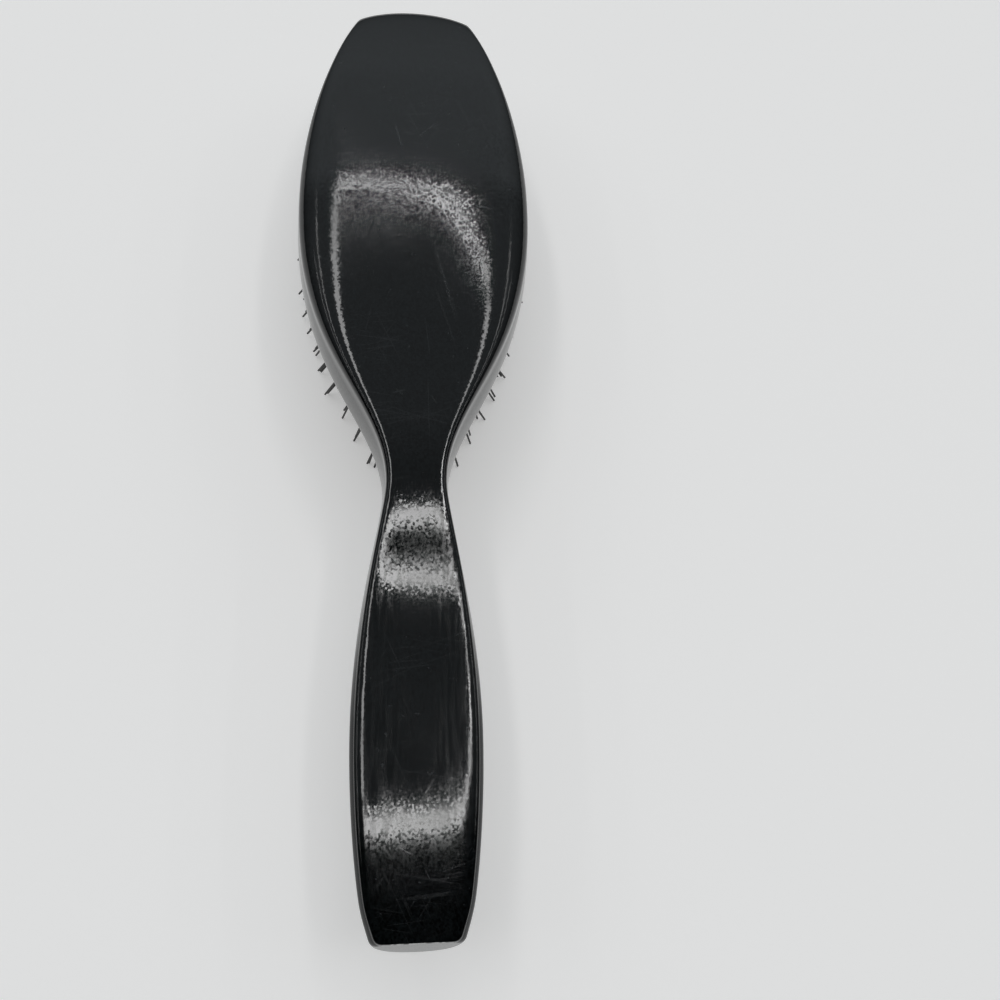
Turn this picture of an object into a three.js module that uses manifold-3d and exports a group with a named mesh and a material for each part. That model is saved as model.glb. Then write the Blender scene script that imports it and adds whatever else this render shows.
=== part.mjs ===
// A cushion styling brush: a one-piece gloss body, a domed rubber pad snapped into its head, and rows of
// nylon tufts that stand through the pad. Millimetres, +Z up, +Y towards the head's tip, +X to the right.
// The brush lies on its tufts, back up. The origin is on the surface it lies on, under the middle of the
// brush's length and width.
import * as THREE from "three";
import { mergeVertices } from "three/addons/utils/BufferGeometryUtils.js";
import Module from "manifold-3d";

const wasm = await Module();
wasm.setup();

// Plan sizes of the body. Lengths run from the neck's narrowest place, widths are half widths.
const HEAD_LENGTH = 130.4;
const HANDLE_LENGTH = 97.2;
const HEAD_HALF = 28.6;
const HEAD_WIDEST = 70.3;
const NECK_HALF = 7.6;
const HANDLE_HALF = 14.1;
const HANDLE_WIDEST = 55.4;
const END_HALF = 9.4;
const END_CORNER = 1.4;
const TIP_HALF = 16.6;
const TIP_ARCH = 3.6;
const TIP_CORNER = 1.1;

// The outline's curves: how far a curve keeps the direction it has at an end, as a share of its length
const END_REACH = 0.28;
const HANDLE_REACH_DOWN = 0.28;
const HANDLE_REACH_UP = 0.53;
const NECK_REACH_DOWN = 0.13;
const NECK_REACH_UP = 0.26;
const HEAD_REACH_DOWN = 0.57;
const HEAD_REACH_UP = 0.6;
const CORNER_REACH = 0.08;
const CORNER_DRIFT = 0.03;
const TRAY_REACH = 0.5;

// Shares that round the corners of the handle's end, the head's tip and the tray
const END_FLARE = 0.75;
const CORNER_SIDE = 0.4;
const CORNER_ARCH = 0.45;
const ARCH_ROUND = 0.5;
const TIP_NARROWING = 0.7;
const TRAY_ROUND = 0.3;

// Heights of the body, measured from the rim of the head, which is flat and faces down. The wall's draft
// grows between two places before the tip.
const HEAD_BACK = 17;
const HEAD_WALL = 9.5;
const RISE_BELOW = 41.5;
const RISE_ABOVE = 50.6;
const RIM_LEAD = 1;
const HANDLE_EDGE = 7;
const HANDLE_WALL = 1.5;
const HANDLE_BELLY = -1.2;
const END_RAKE = THREE.MathUtils.degToRad(15.5);
const RAKED_LENGTH = 12;
const WALL_DRAFT = 0.9;
const TIP_DRAFT = 2.6;
const DRAFT_FROM = 54;
const DRAFT_TO = 17;
const HEAD_SQUARENESS = 2.7;
const TIP_SQUARENESS = 6;
const TIP_EDGE = 2;
const NECK_SQUARENESS = 7.5;
const HANDLE_SQUARENESS = 4.3;
const BELLY_SQUARENESS = 2.2;

// The neck's top and shoulders: how far the shoulders lift there, and where from the neck's narrowest
// place the lift and the squareness begin and end. The tip's crisp edge begins and ends so far from it.
const RAMP_LIFT = 3;
const RAMP_FROM = 38;
const RAMP_TOP = 5;
const RAMP_TO = 52;
const SQUARE_FROM = 13;
const SQUARE_TO = 11;
const TIP_FROM = 52;
const TIP_TO = 8;

// The back's line seen from the side: places from the neck as shares of the handle's length, and the
// slope there in degrees, rising towards the tip. Between two places the slope changes evenly.
const BACK_SLOPES = [
  [-1, 1.8],
  [-0.85, 1.5],
  [-0.632, 0],
  [-0.37, 1.3],
  [-0.272, 5.4],
  [-0.2, 8.1],
  [-0.138, 9.7],
  [-0.076, 9.3],
  [0.027, 7.6],
  [0.243, 0],
];
const BEND_FROM_TIP = 29;
const BEND_SLOPE = THREE.MathUtils.degToRad(3.5);
const TIP_SLOPE = THREE.MathUtils.degToRad(15.5);

// The tray in the head and the groove that holds the pad's bead
const RIM_WIDTH = 4;
const TRAY_DEPTH = 8;
const TRAY_NECK = 10.5;
const TRAY_CORNER = 3.5;
const GROOVE_DEPTH = 1.2;
const GROOVE_FOOT = 1.5;
const GROOVE_HEIGHT = 2.5;

// The rubber pad
const PAD_FIT = 0.3;
const PAD_SKIN = 1.8;
const PAD_DROP = 4.8;
const PAD_SQUARENESS = 2.5;
const VENT_RADIUS = 0.9;

// The tufts, in rows across the pad
const TUFT_DROP = 20;
const TUFT_RADIUS = 0.45;
const TUFT_FIT = 0.3;
const TUFT_EDGE = 7;
const TUFT_PITCH = 5.6;
const ROW_PITCH = 5.4;
const FIRST_ROW = 18.6;
const LAST_ROW_EDGE = 12.4;
const SIDE_SPLAY = THREE.MathUtils.degToRad(25.5);
const END_LEAN = THREE.MathUtils.degToRad(11);
const TIP_RISE = 2.6;
const LEVEL_HALF = 9;
const CARRIER_THICKNESS = 1;
const CARRIER_WIDTH = 1.3;
const CARRIER_FIT = 0.4;
const CARRIER_OVERHANG = 0.7;

// How finely the curves are cut into straight pieces
const CURVE_STEPS = 12;
const CORNER_STEPS = 3;
const BACK_STEPS = 7;
const BELLY_STEPS = 4;
const PAD_STEPS = 5;
const TUFT_SIDES = 6;
const HOLE_SIDES = 4;
const VENT_SIDES = 8;
const SAME_POINT = 1e-4;
const HALVINGS = 30;
const CUT_PAST = 1;

// Places along the brush, in the part's frame
const RIM_Z = TUFT_DROP;
const PAD_LOW = RIM_Z - PAD_DROP;
const NECK_Y = (HANDLE_LENGTH - HEAD_LENGTH) / 2;
const TIP_Y = NECK_Y + HEAD_LENGTH;
const END_Y = NECK_Y - HANDLE_LENGTH;
const HEAD_WIDE_Y = NECK_Y + HEAD_WIDEST;
const HANDLE_WIDE_Y = NECK_Y - HANDLE_WIDEST;
const TRAY_Y = NECK_Y + TRAY_NECK;

const { lerp, smoothstep, clamp } = THREE.MathUtils;

const gloss = new THREE.MeshStandardMaterial({ color: 0x0d0f10, roughness: 0.22, metalness: 0 });
const rubber = new THREE.MeshStandardMaterial({ color: 0x161616, roughness: 0.75, metalness: 0 });
const nylon = new THREE.MeshStandardMaterial({ color: 0x0b0b0b, roughness: 0.4, metalness: 0 });

// The right half of the body's plan outline, from the handle's end to the head's tip
function bodyOutline() {
  const handle = HANDLE_WIDE_Y - END_Y;
  const grip = NECK_Y - HANDLE_WIDE_Y;
  const cheek = HEAD_WIDE_Y - NECK_Y;
  const path = new THREE.Path();
  path.moveTo(0, END_Y);
  path.lineTo(END_HALF - END_CORNER, END_Y);
  path.quadraticCurveTo(END_HALF, END_Y, END_HALF + END_CORNER / 3, END_Y + END_CORNER);
  path.bezierCurveTo(
    lerp(END_HALF, HANDLE_HALF, END_FLARE), END_Y + handle * END_REACH,
    HANDLE_HALF, HANDLE_WIDE_Y - handle * HANDLE_REACH_DOWN,
    HANDLE_HALF, HANDLE_WIDE_Y,
  );
  path.bezierCurveTo(
    HANDLE_HALF, HANDLE_WIDE_Y + grip * HANDLE_REACH_UP,
    NECK_HALF, NECK_Y - grip * NECK_REACH_DOWN,
    NECK_HALF, NECK_Y,
  );
  path.bezierCurveTo(
    NECK_HALF, NECK_Y + cheek * NECK_REACH_UP,
    HEAD_HALF, HEAD_WIDE_Y - cheek * HEAD_REACH_DOWN,
    HEAD_HALF, HEAD_WIDE_Y,
  );
  addTip(path, 0, TIP_CORNER);
  return path;
}

// The head's side from its widest place to the tip, and the arched tip itself, moved in by an inset
function addTip(path, inset, corner) {
  const half = HEAD_HALF - inset;
  const tipHalf = TIP_HALF - inset * TIP_NARROWING;
  const cornerY = TIP_Y - TIP_ARCH - inset;
  const side = cornerY - HEAD_WIDE_Y;
  path.bezierCurveTo(
    half, HEAD_WIDE_Y + side * HEAD_REACH_UP,
    tipHalf + corner * CORNER_SIDE + side * CORNER_DRIFT, cornerY - corner - side * CORNER_REACH,
    tipHalf + corner * CORNER_SIDE, cornerY - corner,
  );
  path.quadraticCurveTo(tipHalf, cornerY, tipHalf - corner, cornerY + corner * CORNER_ARCH);
  path.quadraticCurveTo(tipHalf * ARCH_ROUND, TIP_Y - inset, 0, TIP_Y - inset);
}

// The right half of a head-shaped outline, such as the tray's or the pad's, moved in by an inset
function trayOutline(inset) {
  const neckY = TRAY_Y + inset - RIM_WIDTH;
  const half = HEAD_HALF - inset;
  const cheek = HEAD_WIDE_Y - neckY;
  const path = new THREE.Path();
  path.moveTo(0, neckY);
  path.bezierCurveTo(
    half * TRAY_ROUND, neckY,
    half, HEAD_WIDE_Y - cheek * TRAY_REACH,
    half, HEAD_WIDE_Y,
  );
  addTip(path, inset, TRAY_CORNER);
  return path;
}

// A path's points: curves in equal steps of their parameter, repeated points left out
function pointsOf(path) {
  const points = [];
  for (const curve of path.curves) {
    const steps = curve.isLineCurve ? 2 : curve.isQuadraticBezierCurve ? CORNER_STEPS : CURVE_STEPS;
    points.push(...curve.getPoints(steps).slice(points.length ? 1 : 0));
  }
  return points;
}

// A closed loop from the points of its right half, running anticlockwise as seen from above
function mirrored(half) {
  const left = half.slice(1, -1).reverse().map((p) => new THREE.Vector2(-p.x, p.y));
  return [...half, ...left];
}

// The half width of an outline at a place along the brush
function halfWidth(half, y) {
  for (let i = 1; i < half.length; i++) {
    const a = half[i - 1];
    const b = half[i];
    if (y >= a.y && y <= b.y && b.y > a.y) return lerp(a.x, b.x, (y - a.y) / (b.y - a.y));
  }
  return 0;
}

const bodyHalf = pointsOf(bodyOutline());
const bodySpine = [END_Y + END_HALF, TIP_Y - TIP_HALF];
const padSpine = [TRAY_Y + RIM_WIDTH * 2, TIP_Y - TIP_HALF];

// The loop drawn in towards a line down the middle, the spine, by a share from 1 at the loop to 0
function drawnIn(loop, spine, share) {
  return loop.map((p) => {
    const middle = clamp(p.y, spine[0], spine[1]);
    return new THREE.Vector2(p.x * share, middle + (p.y - middle) * share);
  });
}

// The share at which a point lies between a head-shaped outline and its spine
function shareAt(half, spine, x, y) {
  const middle = clamp(y, spine[0], spine[1]);
  let inside = 1;
  let outside = Number.MAX_SAFE_INTEGER;
  const fits = (k) => Math.abs(x) * k <= halfWidth(half, middle + (y - middle) * k);
  if (!fits(1)) return 1;
  for (let i = 0; i < HALVINGS; i++) {
    const k = (inside + outside) / 2;
    if (fits(k)) inside = k;
    else outside = k;
  }
  return 1 / inside;
}

// A round-shouldered bulge: 1 in the middle, 0 at the edge, squarer with a larger power
function bulge(share, power) {
  return Math.pow(Math.max(0, 1 - Math.pow(Math.min(1, share), power)), 1 / power);
}

// Heights of the body's lines along its length
function headShare(y) {
  return smoothstep(y, NECK_Y - RISE_BELOW, NECK_Y + RISE_ABOVE);
}

function undersideShare(y) {
  return smoothstep(y, HANDLE_WIDE_Y, TRAY_Y - RIM_WIDTH - RIM_LEAD);
}

// The back's slopes from the handle's end to the head's tip
const backSlopes = [
  ...BACK_SLOPES.map(([share, slope]) => [
    NECK_Y + share * HANDLE_LENGTH,
    Math.tan(THREE.MathUtils.degToRad(slope)),
  ]),
  [HEAD_WIDE_Y, 0],
  [TIP_Y - BEND_FROM_TIP, -Math.tan(BEND_SLOPE)],
  [TIP_Y, -Math.tan(TIP_SLOPE)],
];

// How far the back climbs between two places along the brush
function climb(from, to) {
  let height = 0;
  for (let i = 1; i < backSlopes.length; i++) {
    const [y0, slope0] = backSlopes[i - 1];
    const [y1, slope1] = backSlopes[i];
    const slopeAt = (y) => lerp(slope0, slope1, (y - y0) / (y1 - y0));
    const start = clamp(from, y0, y1);
    const stop = clamp(to, y0, y1);
    height += ((slopeAt(start) + slopeAt(stop)) / 2) * (stop - start);
  }
  return height;
}

function backZ(y) {
  return RIM_Z + HEAD_BACK - climb(y, HEAD_WIDE_Y);
}

function tipShare(y) {
  return smoothstep(y, TIP_Y - TIP_FROM, TIP_Y - TIP_TO);
}

function shoulderZ(y) {
  const level = lerp(lerp(HANDLE_EDGE + HANDLE_WALL, HEAD_WALL, headShare(y)), HEAD_BACK - TIP_EDGE, tipShare(y));
  const top = NECK_Y + RAMP_TOP;
  const lift = smoothstep(y, NECK_Y - RAMP_FROM, top) - smoothstep(y, top, NECK_Y + RAMP_TO);
  return RIM_Z + level + climb(HEAD_WIDE_Y, Math.max(y, HEAD_WIDE_Y)) + RAMP_LIFT * lift;
}

function edgeZ(y) {
  return RIM_Z + lerp(HANDLE_EDGE, 0, undersideShare(y));
}

function bellyZ(y) {
  return RIM_Z + lerp(HANDLE_BELLY, 0, undersideShare(y));
}

// The share across the body: the sides all along it, and the rounded tip too, but not the cut end
function acrossShare(p, share) {
  return p.y < NECK_Y ? Math.abs(p.x) / Math.max(halfWidth(bodyHalf, p.y), NECK_HALF / 2) : share;
}

// How square the back is across: the most at the neck and the tip, the least at the head's widest place
function squareness(y) {
  const neck = smoothstep(y, HANDLE_WIDE_Y, NECK_Y - SQUARE_FROM);
  const head = smoothstep(y, NECK_Y + SQUARE_TO, HEAD_WIDE_Y);
  const before = lerp(lerp(1 / HANDLE_SQUARENESS, 1 / NECK_SQUARENESS, neck), 1 / HEAD_SQUARENESS, head);
  return 1 / lerp(before, 1 / TIP_SQUARENESS, tipShare(y));
}

function topPoint(p, share) {
  const power = squareness(p.y);
  const low = shoulderZ(p.y);
  return raked(p, low + (backZ(p.y) - low) * bulge(acrossShare(p, share), power));
}

function undersidePoint(p, share) {
  const high = edgeZ(p.y);
  return raked(p, high - (high - bellyZ(p.y)) * bulge(acrossShare(p, share), BELLY_SQUARENESS));
}

// The handle's end face leans back from its foot, so points near the end shift with their height
function raked(p, z) {
  const near = 1 - smoothstep(p.y, END_Y, END_Y + RAKED_LENGTH);
  return new THREE.Vector3(p.x, p.y + near * (z - bellyZ(END_Y)) * Math.tan(END_RAKE), z);
}

// A solid from closed rings of equally many points. The first and the last ring have no width, or
// are flat, so that they close on themselves.
function ringSolid(rings) {
  const count = rings[0].length;
  const triangles = [];
  for (let r = 1; r < rings.length; r++) {
    for (let i = 0; i < count; i++) {
      const j = (i + 1) % count;
      const a = rings[r - 1][i];
      const b = rings[r - 1][j];
      const c = rings[r][j];
      const d = rings[r][i];
      if (a.distanceToSquared(c) < b.distanceToSquared(d)) triangles.push([a, b, c], [a, c, d]);
      else triangles.push([a, b, d], [b, c, d]);
    }
  }
  return solidOf(new THREE.BufferGeometry().setFromPoints(triangles.flat()));
}

// A geometry as a solid, its shared vertices merged and its empty triangles dropped
function solidOf(geometry) {
  const bare = geometry.index ? geometry.toNonIndexed() : geometry.clone();
  bare.deleteAttribute("normal");
  bare.deleteAttribute("uv");
  const merged = mergeVertices(bare, SAME_POINT);
  const index = merged.index.array;
  const kept = [];
  for (let i = 0; i < index.length; i += 3) {
    const [a, b, c] = [index[i], index[i + 1], index[i + 2]];
    if (a !== b && b !== c && c !== a) kept.push(a, b, c);
  }
  return new wasm.Manifold(
    new wasm.Mesh({
      numProp: 3,
      vertProperties: merged.attributes.position.array,
      triVerts: new Uint32Array(kept),
    }),
  );
}

function meshOf(name, solid, material) {
  const made = solid.getMesh();
  const geometry = new THREE.BufferGeometry();
  geometry.setAttribute("position", new THREE.BufferAttribute(new Float32Array(made.vertProperties), 3));
  geometry.setIndex(new THREE.BufferAttribute(new Uint32Array(made.triVerts), 1));
  geometry.computeVertexNormals();
  const mesh = new THREE.Mesh(geometry, material);
  mesh.name = name;
  return mesh;
}

// An upright prism of a loop between two heights
function prism(loop, low, high) {
  const geometry = new THREE.ExtrudeGeometry(new THREE.Shape(loop), {
    depth: high - low,
    bevelEnabled: false,
  });
  return solidOf(geometry.translate(0, 0, low));
}

// A straight rod between two points
function rod(from, to, radius, sides) {
  const along = new THREE.Vector3().subVectors(to, from);
  const geometry = new THREE.CylinderGeometry(radius, radius, along.length(), sides);
  const turn = new THREE.Quaternion().setFromUnitVectors(
    new THREE.Vector3(0, 1, 0),
    along.clone().normalize(),
  );
  const middle = new THREE.Vector3().addVectors(from, to).multiplyScalar(0.5);
  return solidOf(geometry.applyQuaternion(turn).translate(middle.x, middle.y, middle.z));
}

// Shares of a bulge's rings, closer together where the bulge turns down at its edge
function bulgeShares(steps, power) {
  return Array.from({ length: steps + 1 }, (_, i) =>
    Math.pow(Math.cos((i / steps) * (Math.PI / 2)), 2 / power),
  );
}

function body() {
  const loop = mirrored(bodyHalf);
  const inner = mirrored(bodyHalf.map((p, i) => insetPoint(bodyHalf, i, wallDraft(p.y))));
  const under = bulgeShares(BELLY_STEPS, BELLY_SQUARENESS).reverse();
  const over = bulgeShares(BACK_STEPS, (HEAD_SQUARENESS + HANDLE_SQUARENESS) / 2);
  const rings = [
    ...under.map((s) => drawnIn(loop, bodySpine, s).map((p) => undersidePoint(p, s))),
    ...over.map((s) => drawnIn(inner, bodySpine, s).map((p) => topPoint(p, s))),
  ];
  const groove = RIM_Z + GROOVE_FOOT;
  return ringSolid(rings)
    .subtract(prism(trayLoop(RIM_WIDTH), RIM_Z - CUT_PAST, RIM_Z + TRAY_DEPTH))
    .subtract(prism(trayLoop(RIM_WIDTH - GROOVE_DEPTH), groove, groove + GROOVE_HEIGHT));
}

function wallDraft(y) {
  return lerp(WALL_DRAFT, TIP_DRAFT, smoothstep(y, TIP_Y - DRAFT_FROM, TIP_Y - DRAFT_TO));
}

// A point of the body's outline moved in square to it, but left on the handle's end
function insetPoint(half, i, distance) {
  const before = half[Math.max(0, i - 1)];
  const after = half[Math.min(half.length - 1, i + 1)];
  const along = new THREE.Vector2().subVectors(after, before).normalize();
  const p = half[i];
  const x = i === 0 || i === half.length - 1 ? 0 : Math.max(0, p.x - along.y * distance);
  const y = p.y > NECK_Y ? p.y + along.x * distance : p.y;
  return new THREE.Vector2(x, y);
}

function trayLoop(inset) {
  return mirrored(pointsOf(trayOutline(inset)));
}

// The pad's outer face bulges down out of the tray, and its inner face follows it a skin higher
const padFoot = RIM_Z + GROOVE_FOOT + PAD_FIT;
const padTop = RIM_Z + GROOVE_FOOT + GROOVE_HEIGHT - PAD_FIT;
const padDepth = PAD_DROP + GROOVE_FOOT + PAD_FIT;
const outerInset = RIM_WIDTH + PAD_FIT;
const innerInset = outerInset + PAD_SKIN;
const beadInset = RIM_WIDTH - GROOVE_DEPTH + PAD_FIT;
const innerHalf = pointsOf(trayOutline(innerInset));

function padInnerZ(x, y) {
  const share = shareAt(innerHalf, padSpine, x, y);
  return padFoot - (padDepth - PAD_SKIN) * bulge(share, PAD_SQUARENESS);
}

function padSolid() {
  const at = (loop, z) => loop.map((p) => new THREE.Vector3(p.x, p.y, z));
  const face = (inset, depth) => (share) =>
    at(
      drawnIn(trayLoop(inset), padSpine, share),
      padFoot - depth * bulge(share, PAD_SQUARENESS),
    );
  const shares = bulgeShares(PAD_STEPS, PAD_SQUARENESS);
  return ringSolid([
    ...shares.toReversed().map(face(outerInset, padDepth)),
    at(trayLoop(beadInset), padFoot),
    at(trayLoop(beadInset), padTop),
    at(trayLoop(innerInset), padTop),
    ...shares.map(face(innerInset, padDepth - PAD_SKIN)),
  ]);
}

// One row of tufts: where it stands, how its plane leans along the brush, and its tufts' places across it
function tuftRows() {
  const first = NECK_Y + FIRST_ROW;
  const rows = Math.floor((TIP_Y - LAST_ROW_EDGE - first) / ROW_PITCH) + 1;
  const middle = first + ((rows - 1) * ROW_PITCH) / 2;
  const fieldHalf = pointsOf(trayOutline(TUFT_EDGE));
  return Array.from({ length: rows }, (_, i) => {
    const y = first + i * ROW_PITCH;
    const end = (y - middle) / (((rows - 1) * ROW_PITCH) / 2);
    const half = halfWidth(fieldHalf, y);
    const gaps = Math.max(1, Math.round((2 * half) / TUFT_PITCH));
    const across = Array.from({ length: gaps + 1 }, (_, k) => half * ((2 * k) / gaps - 1));
    const name = `tuft_row_${String(i + 1).padStart(2, "0")}`;
    return { name, y, lean: END_LEAN * end ** 3, across };
  });
}

// Where the plane of a row lies along the brush at a height
function rowY(row, z) {
  return row.y + Math.tan(row.lean) * (PAD_LOW - z);
}

// The ends of one tuft's axis in the part's frame: its head behind the pad, and its tip. The tufts fan out
// to the sides in proportion to their distance from the middle.
function tuftAxis(row, x) {
  const fieldEdge = HEAD_HALF - TUFT_EDGE;
  const slope = new THREE.Vector3(Math.tan(SIDE_SPLAY) * (x / fieldEdge), Math.tan(row.lean), -1);
  const inner = padInnerZ(x, rowY(row, padInnerZ(x, row.y)));
  const base = new THREE.Vector3(x, rowY(row, inner - PAD_SKIN), inner - PAD_SKIN);
  const rise = TIP_RISE * smoothstep(Math.abs(x), LEVEL_HALF, fieldEdge);
  const cutLow = TUFT_RADIUS * Math.hypot(slope.x, slope.y) / slope.length();
  const head = base.clone().addScaledVector(slope, -(PAD_SKIN + CARRIER_FIT + CARRIER_THICKNESS / 2));
  const tip = base.clone().addScaledVector(slope, base.z - rise - cutLow);
  return { head, tip };
}

// The tufts of a row and the strip behind the pad that joins their heads
function rowSolid(row) {
  const axes = row.across.map((x) => tuftAxis(row, x));
  const rods = axes.map(({ head, tip }) => rod(head, tip, TUFT_RADIUS, TUFT_SIDES));
  return rods.reduce((all, next) => all.add(next), carrier(row, axes.map(({ head }) => head)));
}

// An arched strip through the heads of a row, in the row's plane and a little longer at each end
function carrier(row, heads) {
  const places = heads.map((head) => new THREE.Vector2(head.x, head.z));
  places[0].x -= CARRIER_OVERHANG;
  places[places.length - 1].x += CARRIER_OVERHANG;
  const raised = (by) => places.map((p) => new THREE.Vector2(p.x, p.y + by));
  const arch = [...raised(-CARRIER_THICKNESS / 2), ...raised(CARRIER_THICKNESS / 2).reverse()];
  const geometry = new THREE.ExtrudeGeometry(new THREE.Shape(arch), {
    depth: CARRIER_WIDTH,
    bevelEnabled: false,
  });
  geometry.translate(0, 0, -CARRIER_WIDTH / 2).rotateX(Math.PI / 2);
  geometry.applyMatrix4(new THREE.Matrix4().makeShear(0, 0, 0, 0, 0, -Math.tan(row.lean)));
  return solidOf(geometry.translate(0, rowY(row, 0), 0));
}

// A square hole along a tuft's axis, with the tuft's clearance on each side
function tuftHole(row, x) {
  const { head, tip } = tuftAxis(row, x);
  return rod(head, tip, (TUFT_RADIUS + TUFT_FIT) * Math.SQRT2, HOLE_SIDES);
}

function ventHole(rows) {
  const y = (rows[0].y + rows[rows.length - 1].y) / 2 + ROW_PITCH / 2;
  const high = new THREE.Vector3(0, y, padTop);
  const low = new THREE.Vector3(0, y, PAD_LOW - CUT_PAST);
  return rod(high, low, VENT_RADIUS, VENT_SIDES);
}

const brush = new THREE.Group();
const rows = tuftRows();
const holes = rows.flatMap((row) => row.across.map((x) => tuftHole(row, x)));
const pad = [...holes, ventHole(rows)].reduce((solid, hole) => solid.subtract(hole), padSolid());

brush.add(meshOf("body", body(), gloss));
brush.add(meshOf("cushion_pad", pad, rubber));
for (const row of rows) brush.add(meshOf(row.name, rowSolid(row), nylon));

export default brush;
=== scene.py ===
import math
import random

import bmesh
import bpy
import numpy as np
from bpy.props import FloatProperty, FloatVectorProperty, IntProperty, PointerProperty
from mathutils import Euler, Matrix, Vector
from mathutils.geometry import interpolate_bezier
from mathutils.kdtree import KDTree


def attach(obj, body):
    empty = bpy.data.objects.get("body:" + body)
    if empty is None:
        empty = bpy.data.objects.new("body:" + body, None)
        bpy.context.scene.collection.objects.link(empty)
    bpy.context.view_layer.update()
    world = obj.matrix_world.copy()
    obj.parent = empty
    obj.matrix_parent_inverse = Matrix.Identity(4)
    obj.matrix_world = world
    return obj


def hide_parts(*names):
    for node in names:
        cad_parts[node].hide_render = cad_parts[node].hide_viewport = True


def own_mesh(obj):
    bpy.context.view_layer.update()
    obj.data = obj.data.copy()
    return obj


bl_info = {
    "name": "Cushion styling brush",
    "version": (1, 0, 0),
    "blender": (4, 5, 0),
    "location": "View3D > Sidebar > Styling Brush",
    "description": "Builds a cushion styling brush round its packed parts, lying on its tufts",
    "category": "Add Mesh",
}

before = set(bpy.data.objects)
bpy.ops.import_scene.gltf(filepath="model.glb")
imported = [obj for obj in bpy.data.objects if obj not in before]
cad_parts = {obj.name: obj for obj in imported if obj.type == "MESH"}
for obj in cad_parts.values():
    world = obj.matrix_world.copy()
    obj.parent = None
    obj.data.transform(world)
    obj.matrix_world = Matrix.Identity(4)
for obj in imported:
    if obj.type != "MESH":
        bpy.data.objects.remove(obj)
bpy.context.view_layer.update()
MM = 0.001
QUARTER = math.pi / 2

# Plan of the body. Lengths run from the neck's narrowest place, widths are half widths.
HEAD_WIDEST = 70.3 * MM
HANDLE_WIDEST = 55.4 * MM
END_HALF = 9.4 * MM
END_CORNER = 1.4 * MM
TIP_HALF = 16.6 * MM
TIP_ARCH = 3.6 * MM
TIP_CORNER = 1.1 * MM
END_REACH = 0.28
END_FLARE = 0.75
HANDLE_REACH_DOWN = 0.28
HANDLE_REACH_UP = 0.53
NECK_REACH_DOWN = 0.13
NECK_REACH_UP = 0.26
HEAD_REACH_DOWN = 0.57
HEAD_REACH_UP = 0.6
CORNER_REACH = 0.08
CORNER_DRIFT = 0.03
CORNER_SIDE = 0.4
CORNER_ARCH = 0.45
ARCH_ROUND = 0.5
TIP_NARROWING = 0.7
TIP_BEND = 40 * MM
TIP_ROUND = 15 * MM

# Heights of the body above its flat rim
HEAD_WALL = 9.5 * MM
RISE_BELOW = 41.5 * MM
RISE_ABOVE = 50.6 * MM
RIM_LEAD = 1 * MM
HANDLE_EDGE = 7 * MM
HANDLE_WALL = 1.5 * MM
RAMP_LIFT = 3 * MM
HANDLE_BELLY = -1.2 * MM
END_RAKE = math.radians(15.5)
RAKED_LENGTH = 12 * MM
WALL_DRAFT = 0.9 * MM
TIP_DRAFT = 2.6 * MM
DRAFT_FROM = 54 * MM
DRAFT_TO = 17 * MM
WALL_CURVE = 1.7
HEAD_SQUARENESS = 2.7
TIP_SQUARENESS = 6
TIP_EDGE = 2 * MM
NECK_SQUARENESS = 7.5
HANDLE_SQUARENESS = 4.3
BELLY_SQUARENESS = 2.2
EDGE_ROUND = 0.5 * MM
EDGE_TRACE = 0.01 * MM
END_BEVEL = 0.45 * MM
END_FACE_REACH = 5 * MM
END_FACE_FLAT = 0.999
SHARP_ANGLE = math.radians(40)

# The back seen from the side: places from the neck as shares of the handle's length, and the slope
# there in degrees, rising towards the tip. Between two places the slope changes evenly.
BACK_SLOPES = (
    (-1, 1.8),
    (-0.85, 1.5),
    (-0.632, 0),
    (-0.37, 1.3),
    (-0.272, 5.4),
    (-0.2, 8.1),
    (-0.138, 9.7),
    (-0.076, 9.3),
    (0.027, 7.6),
    (0.243, 0),
)
BEND_FROM_TIP = 29 * MM
BEND_SLOPE = math.radians(3.5)
TIP_SLOPE = math.radians(15.5)
RAMP_FROM = 38 * MM
RAMP_TOP = 5 * MM
RAMP_TO = 52 * MM
SQUARE_FROM = 13 * MM
SQUARE_TO = 11 * MM
TIP_FROM = 52 * MM
TIP_TO = 8 * MM

# The tray in the head, its groove, and the rubber cushion that snaps into it
RIM_WIDTH = 4 * MM
TRAY_DEPTH = 8 * MM
TRAY_NECK = 10.5 * MM
TRAY_CORNER = 3.5 * MM
TRAY_ROUND = 0.3
TRAY_REACH = 0.5
GROOVE_DEPTH = 1.2 * MM
GROOVE_FOOT = 1.5 * MM
GROOVE_HEIGHT = 2.5 * MM
PAD_FIT = 0.3 * MM
PAD_SQUARENESS = 2.5
VENT_RADIUS = 0.9 * MM
VENT_DEPTH = 1.2 * MM
VENT_FLOOR = 0.8

# The rubber puckers in at each tuft, with a low collar round it
PUCKER_DEPTH = 0.45 * MM
PUCKER_WIDTH = 0.75 * MM
COLLAR_RISE = 0.3 * MM
COLLAR_RADIUS = 1.35 * MM
COLLAR_WIDTH = 0.45 * MM

# The tufts
TUFT_EDGE = 7 * MM
TUFT_PITCH = 5.6 * MM
ROW_PITCH = 5.4 * MM
FIRST_ROW = 18.6 * MM
LAST_ROW_EDGE = 12.4 * MM
END_LEAN = math.radians(11)
TIP_RISE = 2.6 * MM
LEVEL_HALF = 9 * MM
BEHIND_PAD = 0.9 * MM
TABLE_GAP = 0.02 * MM
OUTER_BEND = 2.8 * MM

# The filaments of a tuft: how far they start from its axis, in radii, and how many times that at their
# tips, then in millimetres how far they stray, how much shorter one in three may be and how they bow
PAIR_GAP = 1.05
TRIPLE_GAP = 1.15
TIP_FAN = 2.2
STRAY = 0.5
STRAY_BACK = -0.1
SHORTEST = 2.2
BOW = 0.25
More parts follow.
